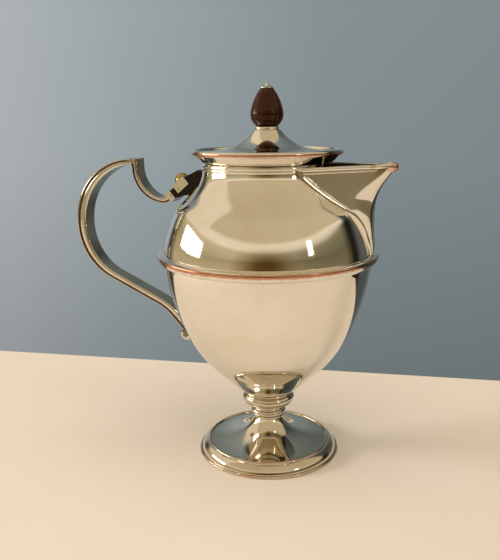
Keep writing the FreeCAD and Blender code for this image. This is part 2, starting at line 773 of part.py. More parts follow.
def pad_block(name, length, top, width):
    """Block on the lower joint's seat that runs on into the bowl, to be trimmed by it."""
    return seated(profiled(name, [
        (f"-({length}) / 2", top),
        (f"-({length}) / 2", "-2 * pad_depth"),
        (f"({length}) / 2", "-2 * pad_depth"),
        (f"({length}) / 2", top),
    ], width), PAD_SEAT, "pad_tilt")


def lower_joint(core):
    """Lug on the bowl that goes through a wooden pad into the strap, with a pin across."""
    lug = pad_block("lug_blank", "lug_length", "lug_grip", "lug_width")
    slot = pad_block("lug_slot", "lug_length + 2 * lug_clearance", "lug_grip + lug_clearance",
                     "lug_width + 2 * lug_clearance")
    pin = keep("handle_lower_pin", cross_pin(
        "handle_lower_pin", PAD_SEAT, "pad_tilt", "0", "lug_pin_depth", "handle_width"))
    keep("handle_lower_lug", cut("handle_lower_lug", lug, core, pin))
    pad = pad_block("lower_pad_blank", "pad_length", "0", "handle_width")
    keep("handle_lower_insulator", cut("handle_lower_insulator", pad, core, slot))
    return slot, pin


def handle_pieces(core, hollow, hole):
    """Strap handle with the joints at both of its ends."""
    upper_joint(core, hollow, hole)
    slot, pin = lower_joint(core)
    strap = profiled("strap", strap_outline(), "handle_width")
    keep("handle_scroll", cut("handle_scroll", strap, slot, pin))


def build():
    """Model every piece of the pot."""
    core = pot_core("pot_core", "0", BOWL_BASE)
    hollow = pot_core("pot_hollow", "sheet_wall", f"{BOWL_BASE} + sheet_wall")
    hole = seated(rod("screw_hole", "screw_radius", SCREW_END, "2 * saddle_wall"),
                  SCREW_SEAT, "insulator_tilt")
    foot_pieces()
    stem_pieces()
    outer, fat = spout_pieces(core, hollow)
    pot_pieces(outer, fat, hole)
    lid_pieces()
    finial_pieces()
    handle_pieces(core, hollow, hole)


def check():
    """Stop if any object failed or any piece is empty or invalid."""
    doc.recompute()
    for item in doc.Objects:
        if {"Invalid", "Error"} & set(item.State):
            raise RuntimeError(f"{item.Name} failed: {item.State}")
    for name, item in nodes.items():
        if item.Shape.isNull() or not item.Shape.isValid() or item.Shape.Volume <= 0:
            raise RuntimeError(f"{name} has no valid solid")


build()
check()
os.makedirs("parts", exist_ok=True)
for name, item in nodes.items():
    item.Shape.exportStep(f"parts/{name}.step")
    print(f"{name}: {len(item.Shape.Solids)} solid(s), {item.Shape.Volume:.1f} mm3")
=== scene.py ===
import math

import bmesh
import bpy
from mathutils import Matrix, Vector


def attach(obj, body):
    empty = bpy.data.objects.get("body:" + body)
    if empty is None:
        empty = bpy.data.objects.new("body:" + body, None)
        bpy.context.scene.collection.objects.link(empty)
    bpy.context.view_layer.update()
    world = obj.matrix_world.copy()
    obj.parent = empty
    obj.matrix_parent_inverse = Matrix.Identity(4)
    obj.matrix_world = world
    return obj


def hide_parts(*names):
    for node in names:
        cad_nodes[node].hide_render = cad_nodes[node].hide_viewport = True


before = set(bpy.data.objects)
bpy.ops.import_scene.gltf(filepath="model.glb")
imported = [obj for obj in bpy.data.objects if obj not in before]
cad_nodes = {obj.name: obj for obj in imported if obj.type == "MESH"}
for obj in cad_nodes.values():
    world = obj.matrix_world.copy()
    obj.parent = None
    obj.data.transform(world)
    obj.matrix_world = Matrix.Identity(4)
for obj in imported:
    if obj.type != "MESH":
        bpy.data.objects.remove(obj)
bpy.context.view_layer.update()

scene = bpy.context.scene
scene.view_settings.view_transform = "Standard"

# Camera: stands at the photograph's view, a little to the spout's side of square on, and looks
# down on the pot. Its lens is measured on the long side of a 500 by 560 frame.
MM = 0.001
camera_turn = math.radians(18)
camera_reach = 428.5 * MM
camera_height = 218.9 * MM
camera_swing, camera_dip, camera_roll = 0.0268, 0.2357, -0.0116  # radians
camera_data = bpy.data.cameras.new("photo_camera")
camera_data.lens = 43.95
camera = bpy.data.objects.new("photo_camera", camera_data)
scene.collection.objects.link(camera)
scene.camera = camera
camera.matrix_world = (
    Matrix.Translation((
        camera_reach * math.sin(camera_turn), -camera_reach * math.cos(camera_turn), camera_height,
    ))
    @ Matrix.Rotation(camera_turn + camera_swing, 4, "Z")
    @ Matrix.Rotation(math.radians(90) - camera_dip, 4, "X")
    @ Matrix.Rotation(camera_roll, 4, "Z")
)


# Table: a painted board, matt and cream, that ends a hand's width behind the pot. Its edges are
# rounded over, and the room is seen beyond them.
def linear(code):
    """Linear colour of an sRGB hex code."""
    parts = [int(code[i:i + 2], 16) / 255 for i in (1, 3, 5)]
    bright = [p / 12.92 if p <= 0.04045 else ((p + 0.055) / 1.055) ** 2.4 for p in parts]
    return (*bright, 1.0)


def node(tree, kind, inputs=(), **settings):
    """Add a node: settings are its own choices, inputs are numbers or the sockets that feed it. A mix
    takes its share at 0, numbers at 2 and 3 or colours at 6 and 7, and gives them at 0 or 2."""
    made = tree.nodes.new(kind)
    for key, setting in settings.items():
        setattr(made, key, setting)
    for key, fed in dict(inputs).items():
        if isinstance(fed, bpy.types.NodeSocket):
            tree.links.new(fed, made.inputs[key])
        else:
            made.inputs[key].default_value = fed
    return made


def matt_cream_paint(name):
    """Matt paint rolled on a board: no grain, only a faint cloudiness a few centimetres across."""
    material = bpy.data.materials.new(name)
    material.use_nodes = True
    tree = material.node_tree
    shader = tree.nodes["Principled BSDF"]
    place = node(tree, "ShaderNodeTexCoord").outputs["Object"]
    cloud = node(tree, "ShaderNodeTexNoise", {
        "Vector": place, "Scale": 1 / (70 * MM), "Detail": 3.0,
    })
    cream = node(tree, "ShaderNodeMix", {
        0: cloud.outputs["Fac"], 6: linear("#e9e0d6"), 7: linear("#efe7de"),
    }, data_type="RGBA")
    tree.links.new(cream.outputs[2], shader.inputs["Base Color"])
    shader.inputs["Roughness"].default_value = 0.7
    shader.inputs["Specular IOR Level"].default_value = 0.2
    return material


board_corners = [(-1150, -680), (900, -680), (900, 278.4), (-1150, -13.7)]
board_thickness = 24
table_mesh = bpy.data.meshes.new("table")
table_form = bmesh.new()
top = [table_form.verts.new((x * MM, y * MM, 0)) for x, y in board_corners]
under = [table_form.verts.new((x * MM, y * MM, -board_thickness * MM)) for x, y in board_corners]
table_form.faces.new(top)
table_form.faces.new(under[::-1])
for i in range(4):
    k = (i + 1) % 4
    table_form.faces.new((top[k], top[i], under[i], under[k]))
bmesh.ops.recalc_face_normals(table_form, faces=table_form.faces)
table_form.to_mesh(table_mesh)
table_form.free()
table = bpy.data.objects.new("table", table_mesh)
scene.collection.objects.link(table)
round_over = table.modifiers.new("rounded_edges", "BEVEL")
round_over.width = 2 * MM
round_over.segments = 4
table_mesh.materials.append(matt_cream_paint("matt_cream_paint"))

# Room: what the polished metal sees. In front lie warm walls under a cream ceiling, lighter on the
# window's side, and behind the table stands a cool grey wall with a dark corner at either end.
room = bpy.data.worlds.new("room")
room.use_nodes = True
scene.world = room
tree = room.node_tree
background = tree.nodes["Background"]
ray = node(tree, "ShaderNodeTexCoord").outputs["Generated"]
height = node(tree, "ShaderNodeSeparateXYZ", {0: ray}).outputs["Z"]
behind, right, ahead, left = (
    node(tree, "ShaderNodeVectorMath", {0: ray, 1: way}, operation="DOT_PRODUCT").outputs["Value"]
    for way in ((-0.07, 1.03, 0), (0.951, 0.309, 0), (0.24, -0.93, 0), (-0.82, 0.576, 0))
)
bands = {}
for name, amount, low, high, stops in (
    ("front", height, -0.4, 1.0, (
        (-0.4, "#8a7d62"), (-0.17, "#c0b090"), (0.07, "#b8a47a"), (0.18, "#a89c78"),
        (0.26, "#bfb28a"), (0.34, "#cdbb97"), (0.375, "#f2e3c6"), (0.44, "#efdfc1"),
        (0.475, "#cbb895"), (0.75, "#cbb996"), (1.0, "#c4b18f"),
    )),
    ("front_to_right", right, -1.0, 1.0, (
        (-1.0, "#ffffff"), (-0.3, "#f9f9f9"), (0.0, "#dbdbdb"), (0.35, "#cfcfcf"),
        (0.65, "#b4b4b4"), (1.0, "#a6a6a6"),
    )),
    ("front_middle", ahead, 0.6, 1.0, ((0.76, "#ffffff"), (0.87, "#d9cdba"), (0.95, "#8d7658"))),
    ("wall", right, -1.0, 1.0, (
        (-1.0, "#b9c0c0"), (-0.35, "#aeb3b6"), (-0.2, "#9da7a9"), (0.08, "#879193"),
        (0.35, "#818b8d"), (0.6, "#5f6565"), (1.0, "#5a5c54"),
    )),
    ("wall_upwards", height, -0.4, 1.0, (
        (-0.4, "#cecece"), (-0.06, "#f8f8f8"), (0.14, "#ffffff"), (0.42, "#c4c4c0"),
        (0.7, "#e4e2da"), (1.0, "#ffffff"),
    )),
    ("corners", behind, 0.3, 0.9, (
        (0.3, "#ffffff"), (0.5, "#6b665e"), (0.6, "#77726a"), (0.72, "#ffffff"),
    )),
):
    share = node(tree, "ShaderNodeMapRange", {"Value": amount, "From Min": low, "From Max": high})
    ramp = node(tree, "ShaderNodeValToRGB", {0: share.outputs["Result"]})
    band = ramp.color_ramp.elements
    while len(band) < len(stops):
        band.new(0.5)
    for stop, (number, code) in zip(band, stops):
        stop.position = (number - low) / (high - low)
        stop.color = linear(code)
    bands[name] = ramp.outputs["Color"]
below_ceiling = node(tree, "ShaderNodeMapRange", {
    "Value": height, "From Min": 0.3, "From Max": 0.44, "To Min": 1.0, "To Max": 0.0,
}, interpolation_type="SMOOTHSTEP").outputs["Result"]
front = bands["front"]
for shade in (bands["front_to_right"], bands["front_middle"]):
    front = node(tree, "ShaderNodeMix", {0: below_ceiling, 6: front, 7: shade}, data_type="RGBA",
                 blend_type="MULTIPLY").outputs[2]
pale = node(tree, "ShaderNodeMapRange", {
    "Value": left, "From Min": 0.3, "From Max": 0.4,
}, interpolation_type="SMOOTHSTEP").outputs["Result"]
pale = node(tree, "ShaderNodeMath", {0: pale, 1: below_ceiling}, operation="SUBTRACT",
            use_clamp=True).outputs[0]
front = node(tree, "ShaderNodeMix", {0: pale, 6: front, 7: linear("#ead7b8")},
             data_type="RGBA").outputs[2]
wall = node(tree, "ShaderNodeMix", {0: 1.0, 6: bands["wall"], 7: bands["wall_upwards"]},
            data_type="RGBA", blend_type="MULTIPLY").outputs[2]
past_corner = node(tree, "ShaderNodeMapRange", {
    "Value": behind, "From Min": 0.42, "From Max": 0.55,
}, interpolation_type="SMOOTHSTEP").outputs["Result"]
around = node(tree, "ShaderNodeMix", {0: past_corner, 6: front, 7: wall}, data_type="RGBA").outputs[2]
around = node(tree, "ShaderNodeMix", {0: below_ceiling, 6: around, 7: bands["corners"]},
              data_type="RGBA", blend_type="MULTIPLY").outputs[2]
tree.links.new(around, background.inputs["Color"])
background.inputs["Strength"].default_value = 1.0
pot_middle = Vector((0, 0, 130 * MM))


def soft_light(name, place, width, depth, power, code):
    """A soft rectangular light that faces the pot, out of the camera's sight."""
    data = bpy.data.lights.new(name, "AREA")
    data.shape = "RECTANGLE"
    data.size = width
    data.size_y = depth
    data.energy = power
    data.color = linear(code)[:3]
    lamp = bpy.data.objects.new(name, data)
    scene.collection.objects.link(lamp)
    lamp.location = place
    lamp.rotation_euler = (pot_middle - Vector(place)).to_track_quat("-Z", "Y").to_euler()
    lamp.visible_camera = False
    return lamp


# The window shows only in the metal; daylight and the ceiling's light fall on table and wood.
window = soft_light("window", (-1.23, -0.33, 0.41), 0.76, 0.24, 3.6, "#fff8ec")
window.visible_diffuse = False
soft_light("doorway", (1.09, -0.51, 0.57), 0.11, 0.2, 0.35, "#fff2dc")
for name, place, width, depth, power in (
    ("ceiling_light", (0.25, -0.35, 1.9), 2.4, 2.0, 17.0),
    ("daylight", (-1.9, -0.7, 0.75), 0.6, 0.4, 22.0),
):
    soft_light(name, place, width, depth, power, "#fff8f1").visible_glossy = False


# Foot: spun from silver-plated copper sheet to a low trumpet with a rounded edge.
# It stands on a drawn wire, and a half-round bead covers the step; both are soldered on.
def arc_points(start, end, rise, steps):
    """Points from start towards end on an arc that rises to the left of the way, without its end."""
    (ax, ay), (bx, by) = start, end
    chord = math.hypot(bx - ax, by - ay)
    if abs(rise) < 1e-6:
        return [(ax + (bx - ax) * i / steps, ay + (by - ay) * i / steps) for i in range(steps)]
    radius = (chord ** 2 / 4 + rise ** 2) / (2 * rise)
    left = (-(by - ay) / chord, (bx - ax) / chord)
    middle = ((ax + bx) / 2 + left[0] * (rise - radius), (ay + by) / 2 + left[1] * (rise - radius))
    first = math.atan2(ay - middle[1], ax - middle[0])
    sweep = -2 * math.copysign(math.asin(min(1.0, chord / 2 / abs(radius))), rise)
    return [
        (middle[0] + abs(radius) * math.cos(first + sweep * i / steps),
         middle[1] + abs(radius) * math.sin(first + sweep * i / steps))
        for i in range(steps)
    ]


def softened(points, radius, closed):
    """The same line with its sharp corners rounded off, as polishing leaves them. A rounding takes
    less than half of the line on either side."""
    soft = []
    count = len(points)
    blunt, most = math.radians(150), 0.45
    for i, here in enumerate(points):
        inner = closed or 0 < i < count - 1
        before = Vector(points[i - 1]) - Vector(here)
        after = Vector(points[(i + 1) % count]) - Vector(here)
        shortest = min(before.length, after.length)
        if not inner or shortest < 1e-6 or before.angle(after) > blunt:
            soft.append(here)
            continue
        start = Vector(here) + before.normalized() * min(radius, before.length * most)
        end = Vector(here) + after.normalized() * min(radius, after.length * most)
        for t in (0, 0.2, 0.4, 0.6, 0.8, 1):
            blend = start * (1 - t) ** 2 + Vector(here) * 2 * t * (1 - t) + end * t ** 2
            soft.append(tuple(blend))
    return soft


def finished(name, points, faces, body, slot):
    """A smooth mesh object that rides on a body, with even highlights on its flat parts."""
    mesh = bpy.data.meshes.new(name)
    mesh.from_pydata(points, [], faces)
    form = bmesh.new()
    form.from_mesh(mesh)
    bmesh.ops.remove_doubles(form, verts=form.verts, dist=0.001 * MM)
    bmesh.ops.recalc_face_normals(form, faces=form.faces)
    form.to_mesh(mesh)
    form.free()
    mesh.shade_smooth()
    mesh.set_sharp_from_angle(angle=math.radians(50))
    piece = bpy.data.objects.new(name, mesh)
    scene.collection.objects.link(piece)
    weigh = piece.modifiers.new("even_highlights", "WEIGHTED_NORMAL")
    weigh.keep_sharp = True
    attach(piece, body)
    return piece


def spun(name, corners, body, slot="silver_plate", soft=0.35, steps=24, around=192):
    """A piece spun or turned about the pot's axis from its half section: corners of (radius, height)
    in millimetres. A third number bows the line to the next corner by that much."""
    closed = corners[0][0] > 0
    line = []
    for i, corner in enumerate(corners):
        following = corners[(i + 1) % len(corners)]
        if len(corner) == 3:
            line += arc_points(corner[:2], following[:2], corner[2], steps)
        else:
            line.append(corner)
    line = softened(line, soft, closed)
    points, rings = [], []
    for radius, level in line:
        if radius < 1e-6:
            rings.append([len(points)] * around)
            points.append((0, 0, level * MM))
            continue
        rings.append(list(range(len(points), len(points) + around)))
        for i in range(around):
            angle = 2 * math.pi * i / around
            x, y = radius * MM * math.cos(angle), radius * MM * math.sin(angle)
            points.append((x, y, level * MM))
    faces = []
    pairs = zip(rings, rings[1:] + rings[:1]) if closed else zip(rings, rings[1:])
    for low, high in pairs:
        for i in range(around):
            k = (i + 1) % around
            face = list(dict.fromkeys((low[i], low[k], high[k], high[i])))
            if len(face) > 2:
                faces.append(face)
    return finished(name, points, faces, body, slot)


def polished_silver_plate(name, worn=(), spots=(), grime="", clean="#f0ece4", dull="#e0d5bf"):
    """Electroplate on copper, buffed to a mirror: a warm white metal with hairlines and smears, and
    copper where rubbing has gone through the plate. worn holds (radius, height, width) of rubbed
    edges round the axis and spots holds (x, y, z, width), in millimetres. grime names the mesh's
    own record of where old polish and tarnish sit in its grooves."""
    material = bpy.data.materials.new(name)
    material.use_nodes = True
    tree = material.node_tree
    shader = tree.nodes["Principled BSDF"]
    place = node(tree, "ShaderNodeTexCoord").outputs["Object"]
    smear = node(tree, "ShaderNodeTexNoise", {
        "Vector": place, "Scale": 1 / (22 * MM), "Detail": 5.0, "Roughness": 0.6,
    }).outputs["Fac"]
    speck = node(tree, "ShaderNodeTexNoise", {
        "Vector": place, "Scale": 1 / (3 * MM), "Detail": 4.0, "Roughness": 0.7,
    }).outputs["Fac"]
    tarnish = node(tree, "ShaderNodeMapRange", {
        "Value": smear, "From Min": 0.42, "From Max": 0.8, "To Max": 0.5,
    }).outputs["Result"]
    colour = node(tree, "ShaderNodeMix", {
        0: tarnish, 6: linear(clean), 7: linear(dull),
    }, data_type="RGBA").outputs[2]
    gloss = node(tree, "ShaderNodeMapRange", {
        "Value": smear, "From Min": 0.3, "From Max": 0.75, "To Min": 0.035, "To Max": 0.085,
    }).outputs["Result"]
    if worn or spots:
        flat = node(tree, "ShaderNodeVectorMath", {0: place, 1: (1, 1, 0)}, operation="MULTIPLY")
        radius = node(tree, "ShaderNodeVectorMath", {0: flat.outputs[0]}, operation="LENGTH")
        level = node(tree, "ShaderNodeSeparateXYZ", {0: place})
        half_section = node(tree, "ShaderNodeCombineXYZ", {
            "X": radius.outputs["Value"], "Y": level.outputs["Z"],
        }).outputs[0]
        places = [(half_section, (r * MM, z * MM, 0), w) for r, z, w in worn]
        places += [(place, (x * MM, y * MM, z * MM), w) for x, y, z, w in spots]
        rubbed = None
        for source, spot, width in places:
            away = node(tree, "ShaderNodeVectorMath", {0: source, 1: spot}, operation="DISTANCE")
            near = node(tree, "ShaderNodeMapRange", {
                "Value": away.outputs["Value"], "From Min": 0.0, "From Max": width * MM,
                "To Min": 1.0, "To Max": 0.0,
            }).outputs["Result"]
            if rubbed is not None:
                near = node(tree, "ShaderNodeMath", {0: rubbed, 1: near},
                            operation="MAXIMUM").outputs[0]
            rubbed = near
        # Copper shows in patches near the rubbed places and more fully at their middle.
        patchy = node(tree, "ShaderNodeMath", {0: smear, 1: speck}, operation="ADD")
        patchy = node(tree, "ShaderNodeMath", {0: patchy.outputs[0], 1: rubbed}, operation="ADD")
        bare = node(tree, "ShaderNodeMapRange", {
            "Value": patchy.outputs[0], "From Min": 1.35, "From Max": 1.75,
        }, interpolation_type="SMOOTHSTEP").outputs["Result"]
        bare = node(tree, "ShaderNodeMath", {0: bare, 1: rubbed}, operation="MULTIPLY")
        bare = node(tree, "ShaderNodeMath", {0: bare.outputs[0], 1: 1.3}, operation="MULTIPLY",
                    use_clamp=True).outputs[0]
        copper = node(tree, "ShaderNodeMix", {
            0: speck, 6: linear("#a8664a"), 7: linear("#e0ac8e"),
        }, data_type="RGBA").outputs[2]
        colour = node(tree, "ShaderNodeMix", {0: bare, 6: colour, 7: copper},
                      data_type="RGBA").outputs[2]
        gloss = node(tree, "ShaderNodeMix", {0: bare, 2: gloss, 3: 0.2}).outputs[0]
    if grime:
        held = node(tree, "ShaderNodeAttribute", attribute_name=grime).outputs["Fac"]
        colour = node(tree, "ShaderNodeMix", {0: held, 6: colour, 7: linear("#4e3a1e")},
                      data_type="RGBA").outputs[2]
        gloss = node(tree, "ShaderNodeMix", {0: held, 2: gloss, 3: 0.35}).outputs[0]
    tree.links.new(colour, shader.inputs["Base Color"])
    tree.links.new(gloss, shader.inputs["Roughness"])
    shader.inputs["Metallic"].default_value = 1.0
    # Hairlines to the metre along x, y and z. Real ones are finer than the render shows, so these
    # are drawn 0.17 mm apart.
    hairline = node(tree, "ShaderNodeMapping", {"Vector": place, "Scale": (900, 900, 6000)})
    scratch = node(tree, "ShaderNodeTexNoise", {
        "Vector": hairline.outputs[0], "Scale": 1.0, "Detail": 2.0,
    }).outputs["Fac"]
    wave = node(tree, "ShaderNodeTexNoise", {
        "Vector": place, "Scale": 1 / (28 * MM), "Detail": 1.0,
    })
    ripple = node(tree, "ShaderNodeBump", {
        "Height": wave.outputs["Fac"], "Strength": 0.25, "Distance": 0.15 * MM,
    })
    lines = node(tree, "ShaderNodeBump", {
        "Height": scratch, "Strength": 0.06, "Distance": 0.02 * MM, "Normal": ripple.outputs[0],
    })
    tree.links.new(lines.outputs[0], shader.inputs["Normal"])
    return material


plain_silver = polished_silver_plate("polished_silver_plate")
foot_silver = polished_silver_plate("foot_silver_plate", worn=(
    (39.5, 8.2, 1.1), (46.4, 1.0, 0.5), (45.4, 1.8, 0.6),
), clean="#e2dbce", dull="#c2b49a")
foot_wire = spun("foot_edge_wire", [
    (43.2, 0), (45.9, 0, -0.65), (45.9, 1.6), (43.2, 1.6),
], "pot")
foot_shell = spun("foot_trumpet", [
    (45.2, 1.6, -1.0), (40.4, 7.4), (38.4, 7.4, 1.0), (18, 13, 1.2), (8.8, 22.8), (8.8, 24),
    (7.6, 24), (7.6, 21.6, -1.2), (17.4, 11.8, -1.0), (38.4, 6.2), (39.2, 6.2, 1.0), (44, 1.6),
], "pot")
step_bead = spun("foot_step_bead", [(38.6, 7.4), (40.4, 7.4, -0.8)], "pot", soft=0.15)
for piece, name in (
    (foot_wire, "foot_rim_wire"), (foot_shell, "foot"), (step_bead, "foot_step_wire"),
):
    piece.data.materials.append(foot_silver)
    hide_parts(name)

# Stem: a turned collar and a cushion knop, cast in nickel silver, plated, and soldered one on
# the other between the foot and the bowl.
collar = spun("stem_ring", [
    (0, 24), (10.5, 24, -1.1), (10.5, 28.6), (9.8, 28.6, 0.5), (9.8, 31.2), (0, 31.2),
], "pot")
knop = spun("stem_cushion", [
    (0, 31.2), (11.2, 31.2), (15.6, 33.5, -1.8), (15.2, 39.5), (0, 39.5),
], "pot")
stem_silver = polished_silver_plate("stem_silver_plate", clean="#d8cfbf", dull="#ad9c7e")
for piece, name in ((collar, "stem_collar"), (knop, "stem_knop")):
    piece.data.materials.append(stem_silver)
    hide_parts(name)

# Bowl: the lower half of the pot, spun from plated copper sheet to a tapering egg shape and
# soldered on the knop. Its upper edge is hidden by the girdle, and its inside was never polished.
def coffee_stained_plate(name):
    """Plate left as it came from the bath, inside the pot: dull, with brown stains a few millimetres
    to a few centimetres across where coffee stood."""
    material = bpy.data.materials.new(name)
    material.use_nodes = True
    tree = material.node_tree
    shader = tree.nodes["Principled BSDF"]
    place = node(tree, "ShaderNodeTexCoord").outputs["Object"]
    stain = node(tree, "ShaderNodeTexNoise", {
        "Vector": place, "Scale": 1 / (16 * MM), "Detail": 6.0, "Roughness": 0.65,
    }).outputs["Fac"]
    share = node(tree, "ShaderNodeMapRange", {
        "Value": stain, "From Min": 0.35, "From Max": 0.7,
    }).outputs["Result"]
    colour = node(tree, "ShaderNodeMix", {
        0: share, 6: linear("#d8cdb8"), 7: linear("#a48b66"),
    }, data_type="RGBA").outputs[2]
    gloss = node(tree, "ShaderNodeMapRange", {
        "Value": stain, "To Min": 0.3, "To Max": 0.5,
    }).outputs["Result"]
    tree.links.new(colour, shader.inputs["Base Color"])
    tree.links.new(gloss, shader.inputs["Roughness"])
    shader.inputs["Metallic"].default_value = 1.0
    return material


def lined(piece, outside, inside):
    """Give a shell its outer finish, and its inner one on the faces that look to the pot's middle."""
    piece.data.materials.append(outside)
    piece.data.materials.append(inside)
    for face in piece.data.polygons:
        if face.normal.dot(pot_middle - face.center) > 0:
            face.material_index = 1


bowl = spun("bowl", [
    (0, 39.5), (15.2, 39.5), (32.5, 56, -1.1), (49, 76, -2.55), (65.7, 128), (65.7, 132),
    (64.5, 132), (64.5, 128, 2.55), (47.94, 76.58, 1.1), (31.66, 56.89), (14.96, 40.7), (0, 40.7),
], "pot", steps=40, around=256)
stained_inside = coffee_stained_plate("coffee_stained_plate")
lined(bowl, plain_silver, stained_inside)
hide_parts("lower_bowl")

# Girdle: a moulded wire bent to a hoop and soldered over the seam of bowl and shoulder.
# Its crest is the widest place of the pot, so cloths have rubbed it down to the copper.
girdle = spun("girdle_moulding", [
    (65.7, 129.2), (67.6, 129.9, -0.35), (69.6, 132.4), (69.75, 133.0, -0.35), (69.5, 135.0),
    (68.4, 135.6), (67.2, 135.75, 0.2), (65.7, 136.4),
], "pot", soft=0.3, around=256)
girdle.data.materials.append(polished_silver_plate("girdle_silver_plate", worn=((69.8, 133.8, 3.0),)))
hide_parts("girdle_wire")

# Shoulder and neck: the upper half, spun to a dome that sweeps up to a plain neck, and cut open at
# the front for the spout. A wire with two reeds is soldered round the neck.
neck_top = 190.7
easing_turns = 24
shoulder_line = (
    [(65.7, 132), (65.7, 135)]
    + arc_points((65.7, 137.5), (57.8, 161.5), -0.75, 40)
    + arc_points((57.8, 161.5), (52, 167.8), -0.28, 12)
    + arc_points((52, 167.8), (39.8, 186), 1.56, 36)
    + [(39.8, 186), (39.8, 188), (39.8, neck_top)]
)
for turn in range(easing_turns):
    ends = zip(shoulder_line, shoulder_line[1:], shoulder_line[2:])
    eased = [tuple((a + 2 * b + c) / 4 for a, b, c in zip(*three)) for three in ends]
    shoulder_line = shoulder_line[:1] + eased + shoulder_line[-1:]


def radius_at(level):
    """Radius of the shoulder's outside at a level."""
    for (r1, z1), (r2, z2) in zip(shoulder_line, shoulder_line[1:]):
        if z1 <= level <= z2:
            return r1 + (r2 - r1) * (level - z1) / (z2 - z1)
    return shoulder_line[-1][0]


# Each row has a level, the tip, the nose's half width, the reach of its curve and the sides' pinch.
beak_levels = (
    (195.0, 81.9, 3.4, 9.0, 1.0), (188.0, 76.9, 4.2, 10.0, 1.0), (184.0, 74.2, 5.0, 11.5, 1.0),
    (180.0, 71.5, 5.6, 13.5, 1.0), (176.0, 69.2, 5.9, 16.0, 1.0), (172.0, 67.6, 5.8, 18.5, 1.0),
    (168.0, 66.6, 5.4, 19.0, 1.0), (163.0, 66.1, 4.9, 14.0, 0.98), (158.0, 66.0, 4.4, 9.0, 0.83),
    (150.0, 66.0, 3.5, 5.2, 0.58), (143.0, 66.0, 2.5, 3.2, 0.42), (136.0, 66.0, 0.8, 1.2, 0.14),
)


def beak_at(level):
    """Tip, nose, reach and pinch of the spout's section at a level, on a smooth line through the
    levels given."""
    last = len(beak_levels) - 1
    i = next(k for k in range(last) if beak_levels[k + 1][0] <= level)
    before, upper, lower, after = (beak_levels[min(max(k, 0), last)] for k in range(i - 1, i + 3))
    step = lower[0] - upper[0]
    t = (level - upper[0]) / step
    sizes = []
    for a, b, c, d in zip(before[1:], upper[1:], lower[1:], after[1:]):
        leave = (c - a) / (lower[0] - before[0]) * step
        arrive = (d - b) / (after[0] - upper[0]) * step
        sizes.append(
            (2 * t ** 3 - 3 * t ** 2 + 1) * b + (t ** 3 - 2 * t ** 2 + t) * leave
            + (3 * t ** 2 - 2 * t ** 3) * c + (t ** 3 - t ** 2) * arrive
        )
    return sizes


side_turn = math.radians(30)
side_stand, side_level, side_lean = 39.3, 174, 0.025


def joint_at(level):
    """Where the spout's flat side meets the shoulder at a level, and the side's way to the front. The
    side is turned from the pot's middle plane, leans in a little, and folds in over the girdle."""
    apex = (side_stand - side_lean * (level - side_level)) / math.sin(side_turn)
    slope = math.tan(side_turn) * beak_at(level)[3]
    root = radius_at(level)
    share = 1 + slope ** 2
    x = (slope ** 2 * apex + math.sqrt(max(0, share * root ** 2 - slope ** 2 * apex ** 2))) / share
    return Vector((x, slope * (apex - x))), Vector((1, -slope)).normalized()


def sheet_inside(line, wall):
    """The inner face of a sheet whose outer face is a line."""
    inside = []
    for i, here in enumerate(line):
        way = Vector(line[min(i + 1, len(line) - 1)]) - Vector(line[max(i - 1, 0)])
        way.normalize()
        inside.append((here[0] - way.y * wall, here[1] + way.x * wall))
    return inside


opening_foot, under_spout = 136.5, 0.9


def cut_shell(line, wall, around=256):
    """A spun sheet that leaves out the spout's place: each level runs from one joint to the other,
    and its edges reach under the spout."""
    section = line + sheet_inside(line, wall)[::-1]
    points, faces, openings = [], [], []
    for radius, level in section:
        opening = 0
        if level > opening_foot:
            joint = joint_at(min(level, neck_top))[0]
            opening = max(0, math.atan2(joint.y, joint.x) - under_spout / radius)
        openings.append(opening)
    for i in range(around + 1):
        for (radius, level), opening in zip(section, openings):
            angle = opening + (2 * math.pi - 2 * opening) * i / around
            x, y = radius * MM * math.cos(angle), radius * MM * math.sin(angle)
            points.append((x, y, level * MM))
    size = len(section)
    for i in range(around):
        for j in range(size):
            k = (j + 1) % size
            faces.append((i * size + j, i * size + k, (i + 1) * size + k, (i + 1) * size + j))
    for start in (0, around * size):
        for j in range(size // 2 - 1):
            if openings[j + 1] > 0:
                faces.append((start + j, start + j + 1, start + size - 2 - j, start + size - 1 - j))
    return points, faces


def dressed(name, material, edge=0):
    """Give a CAD node its finish, and break its sharp edges by so many millimetres."""
    part = cad_nodes[name]
    part.data.materials.clear()
    part.data.materials.append(material)
    if edge:
        bevel = part.modifiers.new("broken_edges", "BEVEL")
        bevel.width = edge * MM
        bevel.segments = 3
        bevel.angle_limit = math.radians(35)


shoulder_wall = 1.2
shoulder_form = cut_shell(shoulder_line, shoulder_wall)
shoulder = finished("shoulder_and_neck", *shoulder_form, "pot", "silver_plate")
lined(shoulder, plain_silver, stained_inside)
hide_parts("upper_body")
dressed("neck_rim_wire", plain_silver)

# Spout: a beak folded from plated sheet and let into the front of the shoulder. Solder is filed to a
# ridge down each joint, and a drawn wire of two reeds goes round the lip and swells at the tip.
ridge_on_shoulder, ridge_on_side, ridge_rise, ridge_edge = 1.4, 2.4, 0.7, 0.2


